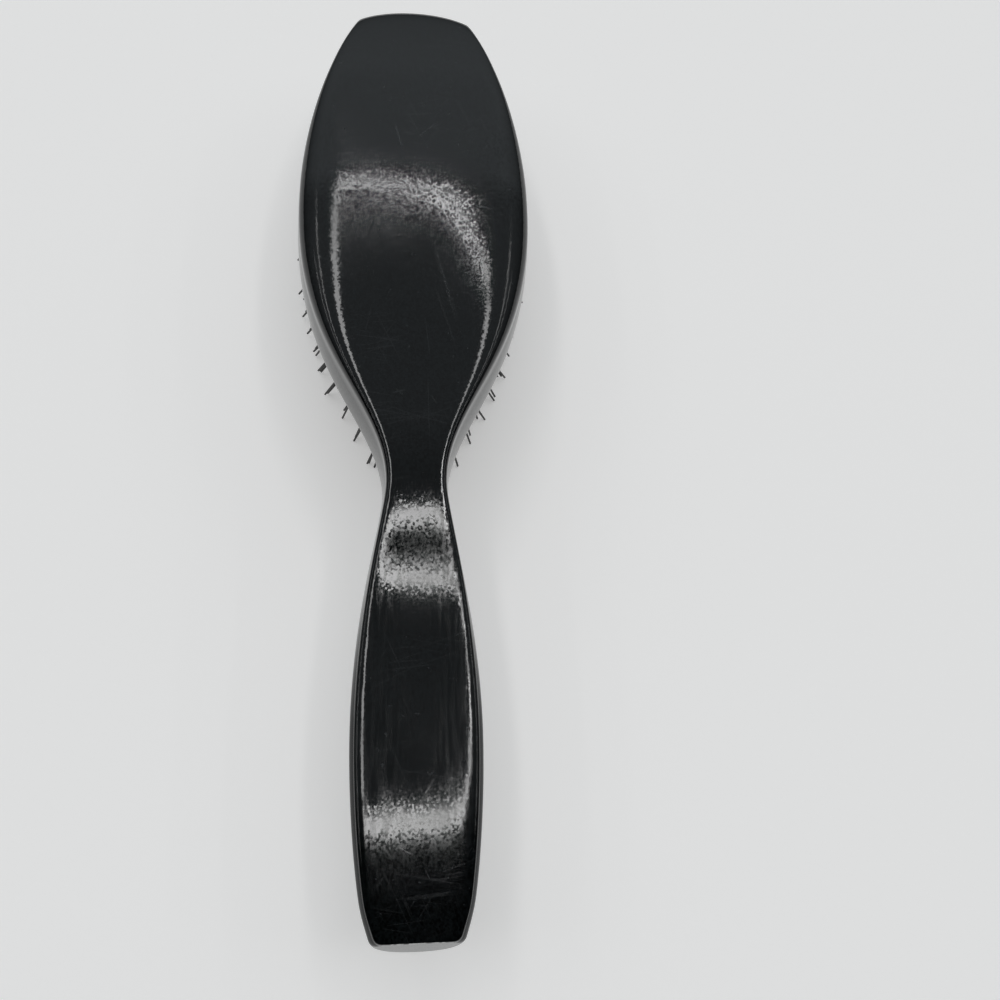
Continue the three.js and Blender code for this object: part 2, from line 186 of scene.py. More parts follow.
# How much of the height of its tip above the table a filament may reach down
REACH_DOWN = 0.6

# How finely the shapes are cut
ACROSS = 72
STATION_STEP = 1.1 * MM
END_STEPS = 8
TIP_STEPS = 22
WALL_STEPS = 8
EDGE_STEPS = 4
BEVEL_STEPS = 3
CURVE_POINTS = 500
DENSE = 6000
PAD_RINGS = 56
PAD_ROUND = 420
INNER_RINGS = 12
FILAMENT_SIDES = 6
FILAMENT_STEPS = 4
HALVINGS = 60
LARGEST_SHARE = 1e6
BODY_MERGE = EDGE_TRACE / 5
PAD_MERGE = 0.01 * MM


def lerp(a, b, share):
    return a + (b - a) * share


def clamp(value, low, high):
    return max(low, min(high, value))


def smoothstep(value, low, high):
    share = clamp((value - low) / (high - low), 0, 1)
    return share * share * (3 - 2 * share)


def bulge(share, power):
    """A round-shouldered bulge: 1 in the middle, 0 at the edge, squarer with a larger power."""
    return max(0.0, 1 - min(1.0, abs(share)) ** power) ** (1 / power)


def cubic(*points):
    """Points along a cubic curve, from its ends and handles."""
    return [(p.x, p.y) for p in interpolate_bezier(*[Vector((x, y)) for x, y in points], CURVE_POINTS)]


def quadratic(start, corner, end):
    """Points along a curve that is drawn towards one corner."""
    pull = 2 / 3
    near = tuple(lerp(a, b, pull) for a, b in zip(start, corner))
    far = tuple(lerp(a, b, pull) for a, b in zip(end, corner))
    return cubic(start, near, far, end)


class BrushForm:
    """The brush's lines, worked out from its sizes. Metres, heights above the table."""

    def __init__(self, sizes):
        self.sizes = sizes
        self.neck_y = (sizes.handle_length - sizes.head_length) / 2
        self.tip_y = self.neck_y + sizes.head_length
        self.end_y = self.neck_y - sizes.handle_length
        self.head_wide_y = self.neck_y + HEAD_WIDEST
        self.handle_wide_y = self.neck_y - HANDLE_WIDEST
        self.tray_y = self.neck_y + TRAY_NECK
        self.rim_z = sizes.tuft_drop
        self.slopes = [
            (self.neck_y + share * sizes.handle_length, math.tan(math.radians(slope)))
            for share, slope in BACK_SLOPES
        ]
        self.slopes += [
            (self.head_wide_y, 0),
            (self.tip_y - BEND_FROM_TIP, -math.tan(BEND_SLOPE)),
            (self.tip_y, -math.tan(TIP_SLOPE)),
        ]
        self.side, self.tip = self.body_lines()
        self.side_end = self.side[-1][1]
        self.side_x, self.side_y = (np.array(v) for v in zip(*self.side))
        self.tip_x, self.tip_rise_y = (np.array(v) for v in zip(*reversed(self.tip)))
        self.pad_spine = (self.tray_y + RIM_WIDTH * 2, self.tip_y - TIP_HALF)
        self.pad_foot = self.rim_z + GROOVE_FOOT + PAD_FIT
        self.pad_top = self.rim_z + GROOVE_FOOT + GROOVE_HEIGHT - PAD_FIT
        self.pad_depth = sizes.pad_drop + GROOVE_FOOT + PAD_FIT
        self.outer_inset = RIM_WIDTH + PAD_FIT
        self.inner_inset = self.outer_inset + sizes.pad_skin
        self.bead_inset = RIM_WIDTH - GROOVE_DEPTH + PAD_FIT

    def body_lines(self):
        """The right side from the handle's end to the tip's corner, and the tip from there on."""
        sizes = self.sizes
        handle = self.handle_wide_y - self.end_y
        grip = self.neck_y - self.handle_wide_y
        cheek = self.head_wide_y - self.neck_y
        side = quadratic(
            (END_HALF - END_CORNER, self.end_y),
            (END_HALF, self.end_y),
            (END_HALF + END_CORNER / 3, self.end_y + END_CORNER),
        )
        side += cubic(
            side[-1],
            (lerp(END_HALF, sizes.handle_half, END_FLARE), self.end_y + handle * END_REACH),
            (sizes.handle_half, self.handle_wide_y - handle * HANDLE_REACH_DOWN),
            (sizes.handle_half, self.handle_wide_y),
        )
        side += cubic(
            side[-1],
            (sizes.handle_half, self.handle_wide_y + grip * HANDLE_REACH_UP),
            (sizes.neck_half, self.neck_y - grip * NECK_REACH_DOWN),
            (sizes.neck_half, self.neck_y),
        )
        side += cubic(
            side[-1],
            (sizes.neck_half, self.neck_y + cheek * NECK_REACH_UP),
            (sizes.head_half, self.head_wide_y - cheek * HEAD_REACH_DOWN),
            (sizes.head_half, self.head_wide_y),
        )
        upper, tip = self.tip_lines(0, TIP_CORNER)
        return side + upper, tip

    def tip_lines(self, inset, corner):
        """The head's side above its widest place, and its arched tip, moved in by an inset."""
        half = self.sizes.head_half - inset
        tip_half = TIP_HALF - inset * TIP_NARROWING
        corner_y = self.tip_y - TIP_ARCH - inset
        side = corner_y - self.head_wide_y
        end = (tip_half + corner * CORNER_SIDE, corner_y - corner)
        upper = cubic(
            (half, self.head_wide_y),
            (half, self.head_wide_y + side * HEAD_REACH_UP),
            (end[0] + side * CORNER_DRIFT, end[1] - side * CORNER_REACH),
            end,
        )
        turned = (tip_half - corner, corner_y + corner * CORNER_ARCH)
        tip = quadratic(end, (tip_half, corner_y), turned)
        tip += quadratic(turned, (tip_half * ARCH_ROUND, self.tip_y - inset), (0, self.tip_y - inset))
        return upper, tip

    def tray_loop(self, inset, count):
        """A head-shaped loop moved in by an inset, its points evenly apart, from the neck round."""
        neck_y = self.tray_y + inset - RIM_WIDTH
        half = self.sizes.head_half - inset
        cheek = self.head_wide_y - neck_y
        lower = cubic(
            (0, neck_y),
            (half * TRAY_ROUND, neck_y),
            (half, self.head_wide_y - cheek * TRAY_REACH),
            (half, self.head_wide_y),
        )
        upper, tip = self.tip_lines(inset, TRAY_CORNER)
        right = lower + upper + tip
        line = np.array(right + [(-x, y) for x, y in reversed(right)])
        steps = np.hypot(*np.diff(line, axis=0).T)
        along = np.concatenate([[0], np.cumsum(steps)])
        places = np.linspace(0, along[-1], count, endpoint=False)
        return np.column_stack([np.interp(places, along, line[:, k]) for k in (0, 1)])

    def climb(self, start, stop):
        """How far the back climbs between two places along the brush."""
        height = 0
        for (y0, slope0), (y1, slope1) in zip(self.slopes, self.slopes[1:]):
            low, high = clamp(start, y0, y1), clamp(stop, y0, y1)
            middle = ((low + high) / 2 - y0) / (y1 - y0)
            height += lerp(slope0, slope1, middle) * (high - low)
        return height

    def back(self, y):
        return self.rim_z + self.sizes.head_back - self.climb(y, self.head_wide_y)

    def tip_share(self, y):
        return smoothstep(y, self.tip_y - TIP_FROM, self.tip_y - TIP_TO)

    def shoulder(self, y):
        share = smoothstep(y, self.neck_y - RISE_BELOW, self.neck_y + RISE_ABOVE)
        level = lerp(HANDLE_EDGE + HANDLE_WALL, HEAD_WALL, share)
        level = lerp(level, self.sizes.head_back - TIP_EDGE, self.tip_share(y))
        tip_fall = self.climb(self.head_wide_y, max(y, self.head_wide_y))
        top = self.neck_y + RAMP_TOP
        lift = smoothstep(y, self.neck_y - RAMP_FROM, top) - smoothstep(y, top, self.neck_y + RAMP_TO)
        return self.rim_z + level + tip_fall + RAMP_LIFT * lift

    def underside(self, y):
        return smoothstep(y, self.handle_wide_y, self.tray_y - RIM_WIDTH - RIM_LEAD)

    def edge(self, y):
        return self.rim_z + lerp(HANDLE_EDGE, 0, self.underside(y))

    def belly(self, y):
        return self.rim_z + lerp(HANDLE_BELLY, 0, self.underside(y))

    def plan(self, u, s, inset):
        """A point of the plan: u runs across from -1 to 1, s is the place along the side."""
        bend = smoothstep(s, self.side_end - TIP_BEND, self.side_end)
        half = np.interp(s, self.side_y, self.side_x)
        rise = np.interp(abs(u) * self.side_x[-1], self.tip_x, self.tip_rise_y) - self.side_end
        return u * (half - inset), s + bend * (rise - inset)

    def raked(self, x, y, z):
        """The handle's end leans back from its foot, so points near it shift with their height."""
        near = 1 - smoothstep(y, self.end_y, self.end_y + RAKED_LENGTH)
        return Vector((x, y + near * (z - self.belly(self.end_y)) * math.tan(END_RAKE), z))

    def squareness(self, y):
        """How square the back is across: most at the neck and tip, least at the head's widest."""
        neck = smoothstep(y, self.handle_wide_y, self.neck_y - SQUARE_FROM)
        head = smoothstep(y, self.neck_y + SQUARE_TO, self.head_wide_y)
        before = lerp(lerp(1 / HANDLE_SQUARENESS, 1 / NECK_SQUARENESS, neck), 1 / HEAD_SQUARENESS, head)
        return 1 / lerp(before, 1 / TIP_SQUARENESS, self.tip_share(y))

    def draft(self, y):
        """How far the wall leans in from the rim to the back's edge."""
        share = smoothstep(y, self.tip_y - DRAFT_FROM, self.tip_y - DRAFT_TO)
        return lerp(WALL_DRAFT, TIP_DRAFT, share)

    def back_height(self, u, s, y):
        power = self.squareness(y)
        over = clamp((s - self.side_end + TIP_ROUND) / TIP_ROUND, 0, 1)
        low = self.shoulder(y)
        return low + (self.back(y) - low) * bulge(u, power) * bulge(over, power)

    def belly_height(self, u, y):
        high = self.edge(y)
        return high - (high - self.belly(y)) * bulge(u, BELLY_SQUARENESS)

    def back_point(self, u, s):
        x, y = self.plan(u, s, self.draft(s))
        return self.raked(x, y, self.back_height(u, s, y))

    def wall_point(self, u, s, drop, turn):
        """A point of the wall: drop is its share of the way down, turn the angle round the edge."""
        x, y = self.plan(u, s, self.draft(s))
        top = self.back_height(u, s, y)
        x, y = self.plan(u, s, 0)
        low = self.belly_height(u, y)
        radius = EDGE_TRACE + EDGE_ROUND * self.underside(y)
        inset = self.draft(s) * (1 - drop) ** WALL_CURVE + radius * (1 - math.cos(turn))
        x, y = self.plan(u, s, inset)
        z = lerp(top, low + radius, drop) - radius * math.sin(turn)
        return self.raked(x, y, z)

    def belly_point(self, u, s):
        x, y = self.plan(u, s, 0)
        x, y = self.plan(u, s, EDGE_TRACE + EDGE_ROUND * self.underside(y))
        return self.raked(x, y, self.belly_height(u, y))

    def drawn_in(self, loop, share):
        """A loop drawn in towards the cushion's spine by a share from 1 at the loop to 0."""
        middle = np.clip(loop[:, 1], *self.pad_spine)
        return np.column_stack([loop[:, 0] * share, middle + (loop[:, 1] - middle) * share])

    def share_at(self, half_line, x, y):
        """The share at which a point lies between a head-shaped outline and the spine."""
        middle = clamp(y, *self.pad_spine)
        inside, outside = 1.0, LARGEST_SHARE
        if abs(x) > self.half_width(half_line, y):
            return 1
        for _ in range(HALVINGS):
            k = (inside + outside) / 2
            if abs(x) * k <= self.half_width(half_line, middle + (y - middle) * k):
                inside = k
            else:
                outside = k
        return 1 / inside

    @staticmethod
    def half_width(half_line, y):
        return float(np.interp(y, half_line[:, 1], half_line[:, 0], left=0, right=0))

    def half_line(self, inset):
        """The right half of a head-shaped loop, as places along it."""
        loop = self.tray_loop(inset, DENSE)
        return loop[: DENSE // 2 + 1]


def tuft_rows(form):
    """The rows of tufts: place, lean along the brush, and the tufts' places across."""
    first = form.neck_y + FIRST_ROW
    count = int((form.tip_y - LAST_ROW_EDGE - first) / ROW_PITCH) + 1
    reach = (count - 1) * ROW_PITCH / 2
    field = form.half_line(TUFT_EDGE)
    rows = []
    for i in range(count):
        y = first + i * ROW_PITCH
        half = form.half_width(field, y)
        gaps = max(1, round(2 * half / TUFT_PITCH))
        across = [half * (2 * k / gaps - 1) for k in range(gaps + 1)]
        lean = END_LEAN * ((y - first - reach) / reach) ** 3
        rows.append((f"tuft_row_{i + 1:02d}", y, lean, across))
    return rows


def tuft_line(form, inner, y, lean, x):
    """Where a tuft leaves the cushion, its direction and where its axis ends."""
    sizes = form.sizes
    field_edge = sizes.head_half - TUFT_EDGE
    slope = Vector((math.tan(sizes.side_splay) * x / field_edge, math.tan(lean), -1))
    depth = form.pad_depth - sizes.pad_skin
    pad_low = form.rim_z - sizes.pad_drop

    def inner_z(at_y):
        return form.pad_foot - depth * bulge(form.share_at(inner, x, at_y), PAD_SQUARENESS)

    z = inner_z(y + math.tan(lean) * (pad_low - inner_z(y))) - sizes.pad_skin
    base = Vector((x, y + math.tan(lean) * (pad_low - z), z))
    rise = TIP_RISE * smoothstep(abs(x), LEVEL_HALF, field_edge)
    return base, slope, base + slope * (z - rise)


def finish_mesh(name, bm, material, body):
    """Makes a finished bmesh into a smooth shaded piece that rides on a body."""
    bmesh.ops.recalc_face_normals(bm, faces=bm.faces)
    mesh = bpy.data.meshes.new(name)
    bm.to_mesh(mesh)
    bm.free()
    mesh.shade_smooth()
    mesh.set_sharp_from_angle(angle=SHARP_ANGLE)
    mesh.materials.append(material)
    piece = bpy.data.objects.new(name, mesh)
    bpy.context.scene.collection.objects.link(piece)
    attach(piece, body)
    return piece


# The gloss plastic's speckle: cells to a metre, how much less they tilt on the handle, where their
# tilt towards the tip is cut off, and how much paler the palest is than the body's colour
GRAIN = 2300
HELD_SPECKLE = 0.75
TIPWARD_TILT = 0.6
FLECK_SHADE = 5

# Its polish lines: how fine and long they are, and where they fade out along the brush and across it
POLISH_SCALE = 1300
POLISH_LENGTH = 12
HELD_FADE = (-25 * MM, 5 * MM)
WORKED_FADE = (-95 * MM, -80 * MM)
BESIDE_FADE = (2 * MM, 6 * MM)

# Its scratches: fields of them (angle, length against width, how rare), and single ones (x, y, angle
# from X, length, width in millimetres, strength)
SCRATCH_SCALE = 2600
FIELD_SCRATCHES = ((25, 70, 0.75), (80, 60, 0.74), (-35, 50, 0.76), (-72, 60, 0.73), (95, 40, 0.74))
STROKES = (
    (6.7, 30.6, 104, 21.1, 0.6, 0.35),
    (7.4, 29.5, 105, 19.4, 0.5, 0.25),
    (6.6, 22.2, 107, 18.3, 0.5, 0.3),
    (2.6, 16.5, 96, 10.9, 0.25, 0.4),
    (2.7, -0.7, 91, 16.9, 0.3, 0.35),
    (-20, 68.1, 87, 3.8, 0.3, 0.4),
    (-19.1, 65, 121, 4.7, 0.3, 0.4),
    (-3.9, 69.8, 104, 8.9, 0.5, 0.6),
    (3, 72, 45, 8.5, 0.35, 0.5),
    (4.3, 72.8, 31, 5.3, 0.3, 0.4),
    (-0.4, 73.3, 132, 4.5, 0.3, 0.4),
    (16.8, 51.3, 176, 6.6, 0.25, 0.5),
    (-10.8, 20.8, 79, 7.3, 0.25, 0.3),
    (-3.9, 3.4, 15, 3.7, 0.5, 0.5),
    (-3.8, 3.3, 133, 2.4, 0.4, 0.4),
    (3.9, 1.6, 123, 2.5, 0.4, 0.5),
    (-2.7, -1.3, 160, 9.3, 0.3, 0.3),
    (2, -2.7, 165, 14.2, 0.25, 0.35),
    (2.9, -2, 21, 11.3, 0.2, 0.3),
    (-3.4, -58, 26, 14.5, 0.25, 0.25),
    (-2.3, -93.6, 150, 3.5, 0.4, 0.5),
    (2, -98.2, 117, 2.7, 0.3, 0.4),
)


class Nodes:
    """A material's node tree, with short calls for its nodes and links."""

    def __init__(self, name):
        self.material = bpy.data.materials.new(name)
        self.material.use_nodes = True
        self.tree = self.material.node_tree
        self.shader = self.tree.nodes["Principled BSDF"]

    def node(self, kind, **inputs):
        """A node of a kind. Names that start with _ set its own fields, the rest its sockets."""
        node = self.tree.nodes.new(kind)
        for key, value in inputs.items():
            if key.startswith("_"):
                setattr(node, key[1:], value)
                continue
            self.feed(node.inputs[key.replace("_", " ")], value)
        return node

    def join(self, source, target):
        self.tree.links.new(source, target)

    def feed(self, socket, value):
        """Joins another node's socket to this one, or sets a plain value."""
        if isinstance(value, bpy.types.NodeSocket):
            self.join(value, socket)
        else:
            socket.default_value = value

    def math(self, operation, *values, kind="ShaderNodeMath"):
        node = self.node(kind, _operation=operation)
        for socket, value in zip(node.inputs, values):
            self.feed(socket, value)
        return node.outputs[0]

    def vector(self, operation, *values):
        return self.math(operation, *values, kind="ShaderNodeVectorMath")

    def placed(self, length=1, turn=0, middle=(0, 0)):
        """Object coordinates about a middle, turned about the height, then stretched along Y."""
        place = self.node("ShaderNodeTexCoord").outputs["Object"]
        node = self.node("ShaderNodeMapping", _vector_type="TEXTURE", Vector=place)
        node.inputs["Location"].default_value = (*middle, 0)
        node.inputs["Rotation"].default_value = (0, 0, turn)
        node.inputs["Scale"].default_value = (1, length, 1)
        return node.outputs[0]

    def stroke(self, x, y, angle, length, width):
        """One thin mark: 1 along its middle, fading to 0 at its sides and ends."""
        place = self.placed(turn=math.radians(angle) - math.pi / 2, middle=(x * MM, y * MM))
        split = self.node("ShaderNodeSeparateXYZ", Vector=place)
        shares = []
        for key, half in (("X", width / 2), ("Y", length / 2)):
            away = self.math("ABSOLUTE", split.outputs[key])
            shares.append(self.ranged(away, half * MM / 2, half * MM, 1.0, 0.0))
        return self.math("MULTIPLY", *shares)

    def noise(self, place, scale, detail=2.0, roughness=0.5):
        node = self.node("ShaderNodeTexNoise", Vector=place, Scale=scale)
        node.inputs["Detail"].default_value = detail
        node.inputs["Roughness"].default_value = roughness
        return node.outputs["Fac"]

    def ranged(self, value, low, high, to_low, to_high):
        """A value moved from one range to another, and held at its ends."""
        node = self.node("ShaderNodeMapRange", Value=value, From_Min=low, From_Max=high)
        self.feed(node.inputs["To Min"], to_low)
        self.feed(node.inputs["To Max"], to_high)
        return node.outputs["Result"]

    def bump(self, height, strength, distance, normal=None):
        node = self.node("ShaderNodeBump", Height=height, Strength=strength, Distance=distance)
        if normal is not None:
            self.join(normal, node.inputs["Normal"])
        return node.outputs["Normal"]

    def flecked(self, scale, tilt):
        """Small cells tilted at random, less towards the tip than away: the normal, and their shade."""
        cells = self.node("ShaderNodeTexVoronoi", Vector=self.placed(), Scale=scale).outputs["Color"]
        uneven = self.vector("MINIMUM", cells, (1, TIPWARD_TILT, 1))
        scaled = self.node("ShaderNodeVectorMath", _operation="SCALE", Scale=tilt)
        self.join(self.vector("SUBTRACT", uneven, (0.5, 0.5, 0.5)), scaled.inputs[0])
        facing = self.node("ShaderNodeNewGeometry").outputs["Normal"]
        normal = self.vector("NORMALIZE", self.vector("ADD", scaled.outputs[0], facing))
        return normal, self.node("ShaderNodeSeparateColor", Color=cells).outputs["Green"]

    def mixed(self, share, first, second):
        """One colour turning into another."""
        node = self.node("ShaderNodeMix", _data_type="RGBA")
        for place, value in ((0, share), (6, first), (7, second)):
            self.feed(node.inputs[place], value)
        return node.outputs[2]


def gloss_plastic(looks):
    """Moulded gloss black plastic: a fine speckle, polish lines on the handle, and scratches."""
    nodes = Nodes("gloss_black_plastic")
    shader = nodes.shader
    place = nodes.placed()
    split = nodes.node("ShaderNodeSeparateXYZ", Vector=place)
    held = nodes.ranged(split.outputs["Y"], *HELD_FADE, 1.0, 0.0)
    beside = nodes.ranged(nodes.math("ABSOLUTE", split.outputs["X"]), *BESIDE_FADE, 0.1, 1.0)
    worked = nodes.ranged(split.outputs["Y"], *WORKED_FADE, 0.2, 1.0)
    polished = nodes.math("MULTIPLY", nodes.math("MULTIPLY", beside, held), worked)
    polish = nodes.noise(nodes.placed(length=POLISH_LENGTH), POLISH_SCALE, 1.0, 0.5)
    tilt = nodes.math("MULTIPLY", nodes.ranged(held, 0.0, 1.0, 1.0, HELD_SPECKLE), looks.speckle)
    normal, fleck = nodes.flecked(GRAIN, tilt)
    waves = nodes.noise(place, 70, 1.0, 0.4)
    normal = nodes.bump(waves, 0.2, 0.0001, normal)
    normal = nodes.bump(polish, polished, 0.000015, normal)
    scratches = scratched(nodes, place)
    normal = nodes.bump(scratches, 0.1, 0.00001, normal)
    nodes.join(normal, shader.inputs["Normal"])
    low, high = looks.roughness - 0.02, looks.roughness + 0.03
    roughness = nodes.ranged(nodes.noise(place, 35, 2.0), 0.3, 0.7, low, high)
    roughness = nodes.math("ADD", roughness, nodes.math("MULTIPLY", scratches, 0.1))
    ridges = nodes.math("MULTIPLY", nodes.ranged(polish, 0.42, 0.58, -0.015, 0.03), polished)
    nodes.join(nodes.math("ADD", roughness, ridges), shader.inputs["Roughness"])
    dust = nodes.ranged(nodes.noise(place, 900, 1.0), 0.74, 0.8, 0.0, 0.3)
    wear = nodes.math("MAXIMUM", dust, nodes.math("MULTIPLY", scratches, 0.3))
    palest = (*[c * FLECK_SHADE for c in looks.body_colour], 1)
    speckled = nodes.mixed(fleck, (0, 0, 0, 1), palest)
    worn = nodes.mixed(wear, speckled, (*looks.wear_colour, 1))
    nodes.join(worn, shader.inputs["Base Color"])
    shader.inputs["IOR"].default_value = 1.5
    return nodes.material


def scratched(nodes, place):
    """Fields of hairlines that come and go, and the single scratches: 1 in the deepest."""
    fields = None
    for turn, length, cut in FIELD_SCRATCHES:
        across = nodes.placed(length=length, turn=math.radians(turn))
        line = nodes.ranged(nodes.noise(across, SCRATCH_SCALE, 0.0, 0.0), cut, cut + 0.03, 0.0, 1.0)
        fields = line if fields is None else nodes.math("MAXIMUM", fields, line)
    patches = nodes.ranged(nodes.noise(place, 60, 1.0), 0.5, 0.62, 0.0, 0.3)
    scratches = nodes.math("MULTIPLY", fields, patches)
    for *stroke, strength in STROKES:
        single = nodes.math("MULTIPLY", nodes.stroke(*stroke), strength)
        scratches = nodes.math("MAXIMUM", scratches, single)
    return scratches


def matt_rubber(looks):
    """Matt black rubber, finely grained, a little paler where it is stretched."""
    nodes = Nodes("matt_black_rubber")
    place = nodes.placed()
    grain = nodes.noise(place, 2200, 3.0, 0.6)
    patches = nodes.noise(place, 90, 3.0, 0.5)
    normal = nodes.bump(grain, 0.5, 0.00003)
    colour = nodes.mixed(
        nodes.ranged(patches, 0.35, 0.7, 0.0, 1.0),
        (*looks.rubber_colour, 1),
        (*[c * 1.7 for c in looks.rubber_colour], 1),
    )
    nodes.join(colour, nodes.shader.inputs["Base Color"])
    nodes.join(nodes.ranged(grain, 0.3, 0.7, 0.62, 0.8), nodes.shader.inputs["Roughness"])
    nodes.join(normal, nodes.shader.inputs["Normal"])
    nodes.shader.inputs["IOR"].default_value = 1.45
    return nodes.material


def satin_nylon(looks):
    """Black nylon filament, drawn lengthwise, dusty in places."""
    nodes = Nodes("satin_black_nylon")
    drawn = nodes.noise(nodes.placed(), 2500, 1.0, 0.5)
    patches = nodes.noise(nodes.placed(), 400, 2.0, 0.5)
    colour = nodes.mixed(
        nodes.ranged(patches, 0.4, 0.75, 0.0, 1.0),
        (*looks.nylon_colour, 1),
        (*[c * 3 for c in looks.nylon_colour], 1),
    )
    nodes.join(colour, nodes.shader.inputs["Base Color"])
    nodes.join(nodes.ranged(drawn, 0.3, 0.7, 0.32, 0.5), nodes.shader.inputs["Roughness"])
    nodes.join(nodes.bump(drawn, 0.3, 0.00001), nodes.shader.inputs["Normal"])
    nodes.shader.inputs["IOR"].default_value = 1.53
    return nodes.material


def table_top(looks):
    """A pale painted table with a faint speckle, which camera and gloss see paler than it is."""
    nodes = Nodes("pale_table")
    shader = nodes.shader
    speckle = nodes.noise(nodes.placed(), 900, 3.0, 0.7)
    shade = nodes.ranged(speckle, 0.3, 0.7, 0.0, 0.04)
    colour = nodes.mixed(shade, (*looks.table_colour, 1), (0.2, 0.2, 0.2, 1))
    nodes.join(colour, shader.inputs["Base Color"])
    nodes.join(nodes.bump(speckle, 0.2, 0.00005), shader.inputs["Normal"])
    shader.inputs["Roughness"].default_value = 0.75
    shader.inputs["Emission Color"].default_value = (1, 0.995, 0.985, 1)
    paths = nodes.node("ShaderNodeLightPath")
    seen = nodes.math("MAXIMUM", paths.outputs["Is Camera Ray"], paths.outputs["Is Glossy Ray"])
    nodes.join(nodes.math("MULTIPLY", seen, looks.table_glow), shader.inputs["Emission Strength"])
    return nodes.material


class BrushSizes(bpy.types.PropertyGroup):
    """The brush's main sizes."""

    head_length: FloatProperty(
        name="Head length",
        description="From the neck's narrowest place to the tip",
        default=0.1304,
        unit="LENGTH",
    )
    handle_length: FloatProperty(
        name="Handle length",
        description="From the neck's narrowest place to the end",
        default=0.0972,
        unit="LENGTH",
    )
    head_half: FloatProperty(
        name="Head half width",
        description="Half the head's greatest width",
        default=0.0286,
        unit="LENGTH",
    )
    neck_half: FloatProperty(
        name="Neck half width",
        description="Half the neck's least width",
        default=0.0076,
        unit="LENGTH",
    )
    handle_half: FloatProperty(
        name="Handle half width",
        description="Half the handle's greatest width",
        default=0.0141,
        unit="LENGTH",
    )
    head_back: FloatProperty(
        name="Head depth",
        description="From the head's flat rim to the top of its back",
        default=0.017,
        unit="LENGTH",
    )
    tuft_drop: FloatProperty(
        name="Tuft drop",
        description="From the head's rim down to the tufts' tips",
        default=0.02,
        unit="LENGTH",
    )
    pad_drop: FloatProperty(
        name="Cushion drop",
        description="How far the cushion stands out of the rim",
        default=0.0048,
        unit="LENGTH",
    )
    pad_skin: FloatProperty(
        name="Cushion skin",
        description="Thickness of the cushion's rubber",
        default=0.0018,
        unit="LENGTH",
    )
    side_splay: FloatProperty(
        name="Side splay",
        description="How far the outermost tufts lean out to the sides",
        default=math.radians(25.5),
        subtype="ANGLE",
    )
    filament_radius: FloatProperty(
        name="Filament radius",
        description="Radius of one nylon filament",
        default=0.00026,
        unit="LENGTH",
    )
    seed: IntProperty(name="Seed", description="Changes how the filaments stand", default=11)


class BrushLooks(bpy.types.PropertyGroup):
    """The brush's colours and finishes, and the table's."""

    body_colour: FloatVectorProperty(
        name="Body colour",
        description="Colour of the gloss plastic",
        default=(0.001, 0.0013, 0.0014),
        subtype="COLOR",
    )
    wear_colour: FloatVectorProperty(
        name="Wear colour",
        description="Colour of its dust and scratches",
        default=(0.09, 0.095, 0.1),
        subtype="COLOR",
    )
    rubber_colour: FloatVectorProperty(
        name="Rubber colour",
        description="Colour of the cushion",
        default=(0.012, 0.012, 0.013),
        subtype="COLOR",
    )
    nylon_colour: FloatVectorProperty(
        name="Nylon colour",
        description="Colour of the filaments",
        default=(0.006, 0.006, 0.006),
        subtype="COLOR",
    )
    table_colour: FloatVectorProperty(
        name="Table colour",
        description="Colour of the painted table",
        default=(0.82, 0.815, 0.81),
        subtype="COLOR",
    )
    table_glow: FloatProperty(
        name="Table glow",
        description="How much paler camera and gloss see the table",
        default=0.34,
        subtype="FACTOR",
    )
    roughness: FloatProperty(
        name="Body roughness",
        description="Roughness of the gloss plastic",
        default=0.075,
        subtype="FACTOR",
    )
    speckle: FloatProperty(
        name="Speckle",
        description="How far its fine cells tilt the light",
        default=0.025,
        subtype="FACTOR",
    )


def stations(form):
    """Places along the side: even in the middle, closer at the end's corner and over the tip."""
    corner = [
        form.end_y + END_CORNER * (1 - math.cos(i / END_STEPS * QUARTER)) for i in range(END_STEPS)
    ]
    start, stop = form.end_y + END_CORNER, form.side_end - TIP_ROUND
    count = round((stop - start) / STATION_STEP)
    middle = [lerp(start, stop, i / count) for i in range(count)]
    power = 2 / HEAD_SQUARENESS
    shares = [math.sin(i / TIP_STEPS * QUARTER) ** power for i in range(TIP_STEPS + 1)]
    over = [stop + TIP_ROUND * share for share in shares]
    return corner + middle + over


